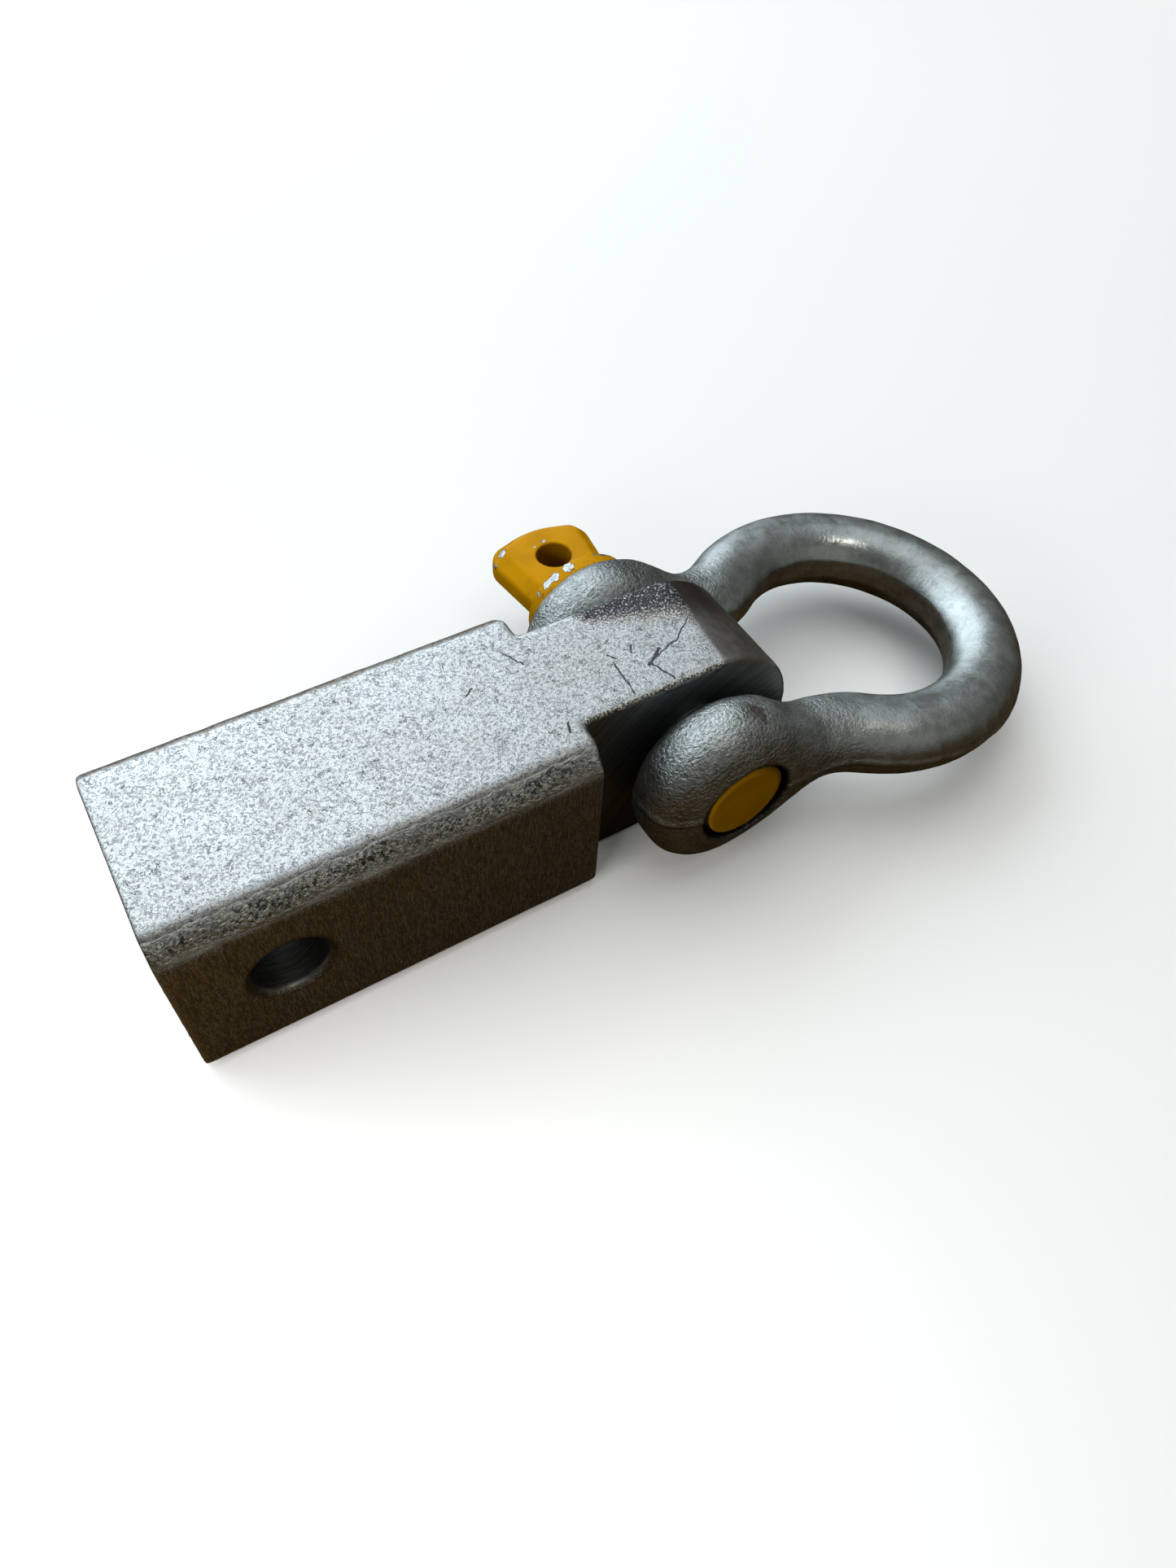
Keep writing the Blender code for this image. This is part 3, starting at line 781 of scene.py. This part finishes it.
def galvanised_look():
    """Hot-dip zinc on a forging: cloudy and brushed on the legs, orange peel on the ears."""
    look = Look("galvanised_steel")
    ear = look.painted("ear")
    along = look.times(look.painted("along"), 1.0 / (0.45 * MM))
    along = look.add("CombineXYZ", {0: along}).outputs[0]
    across = look.vector("ADD", look.drawn_out(5.0 * MM, 5.0 * MM, 5.0 * MM), along)
    brushed = look.noise(1.0, detail=3.0, roughness=0.6, place=across)
    cloud = look.noise(5.5 * MM, detail=5.0, roughness=0.62, distortion=0.5)
    mottle = look.noise(2.2 * MM, detail=4.0, roughness=0.65, distortion=0.6)
    orange_peel = look.noise(0.80 * MM, detail=2.5, roughness=0.55, distortion=0.4)
    fleck = look.noise(0.5 * MM, detail=3.0, roughness=0.6)
    specks = look.pits(1.7 * MM, 0.22 * MM, 0.52)
    rust = look.band(look.torn(look.painted("rust"), mottle, 2.4), 0.10, 0.80)

    grey = dipped(look, cloud, mottle, brushed, fleck)
    # Painted shade in the low spots of the orange peel, from the same noise as its relief
    hollow_shade = look.times(look.band(orange_peel, 0.45, 0.35), ear, 0.45)
    grey = look.mix(hollow_shade, grey, BOW_HOLLOW_SHADE)
    grey = look.mix(look.times(specks, ear, 0.85), grey, BOW_SPECK)
    grey = flashed(look, grey, ear, cloud, mottle, fleck)
    grey = look.mix(look.times(rust, 0.85), grey, BOW_RUST)
    # Painted shade inside the bore, near black
    grey = look.mix(look.painted("hole"), grey, BOW_BORE_SHADE)
    look.set(Base_Color=grey, Metallic=1.0)

    peel = look.times(orange_peel, look.blend(ear, 0.06 * MM, 0.46 * MM))
    fibre = look.times(brushed, look.blend(ear, 0.020 * MM, 0.004 * MM))
    grit = look.times(fleck, 0.03 * MM)
    pitted = look.maths("MAXIMUM", look.times(specks, ear), look.times(rust, fleck))
    look.relief(look.plus(peel, fibre, grit, look.times(pitted, -0.12 * MM)))
    gloss = look.blend(look.band(cloud, 0.3, 0.7), 0.36, 0.44)
    polished = look.times(look.painted("polished"), look.band(cloud, 0.25, 0.45))
    gloss = look.blend(polished, gloss, 0.22)
    look.set(Roughness=look.blend(rust, gloss, 0.7))
    return look.material


def enamel_look():
    """Yellow paint, chipped to the metal here and there, and a bare shaft."""
    look = Look("yellow_enamel")
    shaft = look.painted("shaft")
    flake = look.noise(0.9 * MM, detail=3.0, roughness=0.6)
    field = look.torn(look.painted("chips"), flake, 1.7)
    chip = look.band(field, 0.18, 0.24)
    torn = look.times(look.band(field, 0.02, 0.12), look.without(chip))
    bare = look.maths("MAXIMUM", chip, shaft)
    cloud = look.noise(6.0 * MM, detail=3.0)
    specks = look.pits(5.5 * MM, 0.22 * MM, 0.55)
    dirt = look.band(look.noise(2.4 * MM, detail=4.0, roughness=0.65), 0.52, 0.66)
    dirt = look.times(dirt, look.painted("collar"))

    yellow = look.mix(look.band(cloud, 0.35, 0.65), ENAMEL_DARK, ENAMEL_LIGHT)
    yellow = look.mix(look.times(dirt, 0.75), yellow, ENAMEL_DIRT)
    yellow = look.mix(look.times(look.painted("dark_eye_shaded_tip"), 0.75), yellow, ENAMEL_DARK_EYE_SHADED_TIP)
    broken = look.maths("MAXIMUM", look.times(torn, 0.8), specks)
    yellow = look.mix(broken, yellow, ENAMEL_TORN)
    metal = look.mix(look.band(flake, 0.35, 0.65), PIN_STEEL_DARK, PIN_STEEL_LIGHT)
    look.set(Base_Color=look.mix(bare, yellow, metal), Metallic=bare)
    look.set(Specular_IOR_Level=0.06, Specular_Tint=ENAMEL_SHEEN)
    look.set(Roughness=look.blend(bare, 0.30, 0.42))
    peel = look.times(look.noise(0.9 * MM), 0.02 * MM)
    look.relief(look.plus(peel, look.times(bare, -0.10 * MM), look.times(specks, -0.05 * MM)))
    return look.material


# Studio

def mixed(tree, share, first, second):
    """A shader between two others: the first where the share is 0."""
    mixer = tree.nodes.new("ShaderNodeMixShader")
    tree.links.new(share, mixer.inputs[0])
    tree.links.new(first.outputs[0], mixer.inputs[1])
    tree.links.new(second.outputs[0], mixer.inputs[2])
    return mixer


def show(tree, seen, lit, output):
    """One shader for the camera's own rays and another for all the rest."""
    path = tree.nodes.new("ShaderNodeLightPath")
    both = mixed(tree, path.outputs["Is Camera Ray"], lit, seen)
    tree.links.new(both.outputs[0], tree.nodes[output].inputs["Surface"])


def backdrop_share(tree):
    """0 on the floor near the object, 1 far away."""
    place = tree.nodes.new("ShaderNodeTexCoord")
    reach = tree.nodes.new("ShaderNodeVectorMath")
    reach.operation = "LENGTH"
    fade = tree.nodes.new("ShaderNodeMapRange")
    fade.interpolation_type = "SMOOTHSTEP"
    fade.inputs["From Min"].default_value = FADE_FROM
    fade.inputs["From Max"].default_value = FADE_TO
    tree.links.new(place.outputs["Object"], reach.inputs[0])
    tree.links.new(reach.outputs["Value"], fade.inputs["Value"])
    return fade.outputs[0]


def floor_material():
    material = bpy.data.materials.new("floor")
    material.use_nodes = True
    tree = material.node_tree
    near = tree.nodes["Principled BSDF"]
    near.inputs["Base Color"].default_value = FLOOR_SHOWN
    near.inputs["Roughness"].default_value = 0.9
    far = tree.nodes.new("ShaderNodeEmission")
    far.inputs["Color"].default_value = BACKDROP
    dark = tree.nodes.new("ShaderNodeBsdfDiffuse")
    dark.inputs["Color"].default_value = FLOOR_IN_METAL
    pale = mixed(tree, backdrop_share(tree), near, far)
    show(tree, pale, dark, "Material Output")
    return material


def make_floor():
    mesh = bpy.data.meshes.new("floor")
    signs = ((-1, -1), (1, -1), (1, 1), (-1, 1))
    corners = [(x * FLOOR_HALF, y * FLOOR_HALF, 0.0) for x, y in signs]
    mesh.from_pydata(corners, [], [(0, 1, 2, 3)])
    mesh.materials.append(floor_material())
    floor = bpy.data.objects.new("floor", mesh)
    bpy.context.scene.collection.objects.link(floor)


def softbox(name, azimuth, height, distance, size, radiance, colour, metal=True):
    """A flat soft light that faces the object. Angles are in degrees, the distance and the
    (width, height) in metres. Reflections don't show a light with metal=False."""
    middle = (cad_box[0] + cad_box[1]) / 2
    light = bpy.data.lights.new(name, "AREA")
    light.shape = "RECTANGLE"
    light.size, light.size_y = size
    light.energy = radiance * math.pi * size[0] * size[1]
    light.color = colour
    item = bpy.data.objects.new(name, light)
    turn, lift = math.radians(azimuth), math.radians(height)
    level = math.cos(lift)
    direction = Vector((level * math.cos(turn), level * math.sin(turn), math.sin(lift)))
    item.location = middle + direction * distance
    item.rotation_mode = "QUATERNION"
    item.rotation_quaternion = direction.to_track_quat("Z", "Y")
    item.visible_camera = False
    item.visible_glossy = metal
    bpy.context.scene.collection.objects.link(item)


def make_world():
    world = bpy.data.worlds.new("studio")
    world.use_nodes = True
    tree = world.node_tree
    dim = tree.nodes["Background"]
    dim.inputs["Color"].default_value = ROOM_IN_METAL
    pale = tree.nodes.new("ShaderNodeBackground")
    pale.inputs["Color"].default_value = BACKDROP
    show(tree, pale, dim, "World Output")
    bpy.context.scene.world = world


def make_camera():
    camera = bpy.data.cameras.new("camera")
    camera.sensor_width = SENSOR_WIDTH
    camera.lens = CAMERA_LENS
    camera.clip_start = 0.01
    item = bpy.data.objects.new("camera", camera)
    item.location = CAMERA_PLACE
    item.rotation_mode = "QUATERNION"
    facing = (CAMERA_AIM - CAMERA_PLACE).to_track_quat("-Z", "Y")
    item.rotation_quaternion = facing @ Quaternion((0.0, 0.0, 1.0), CAMERA_ROLL)
    bpy.context.scene.collection.objects.link(item)
    bpy.context.scene.camera = item


def make_lights():
    softbox("window", 105.0, 30.0, 1.5, (2.7, 1.5), 2.0, (0.80, 0.92, 1.0))
    softbox("ceiling", 60.0, 78.0, 1.4, (1.6, 1.6), 0.60, (0.88, 0.95, 1.0))
    softbox("table_light", 80.0, 65.0, 2.0, (2.6, 2.6), 1.25, (1.0, 0.99, 0.97), metal=False)
    softbox("room", -85.0, 22.0, 1.6, (2.0, 1.0), 0.135, (1.0, 0.99, 0.95))
    softbox("side_table", 205.0, 20.0, 0.28, (0.15, 0.15), 6.5, (1.0, 0.98, 0.95), metal=False)
    softbox("lamp", -77.0, 63.0, 1.4, (0.30, 0.14), 6.5, (1.0, 0.97, 0.86))


for make, look, node, body, slot in (
    (make_block, zinc_look, "receiver_block", "receiver", "zinc_plated_steel"),
    (make_bow, galvanised_look, "shackle_bow", "bow", "galvanised_steel"),
    (make_pin, enamel_look, "screw_pin", "pin", "yellow_enamel"),
):
    piece = make()
    piece.data.materials.append(look())
    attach(piece, body)
    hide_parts(node)

make_floor()
make_world()
make_lights()
make_camera()
bpy.context.scene.view_settings.view_transform = "Standard"
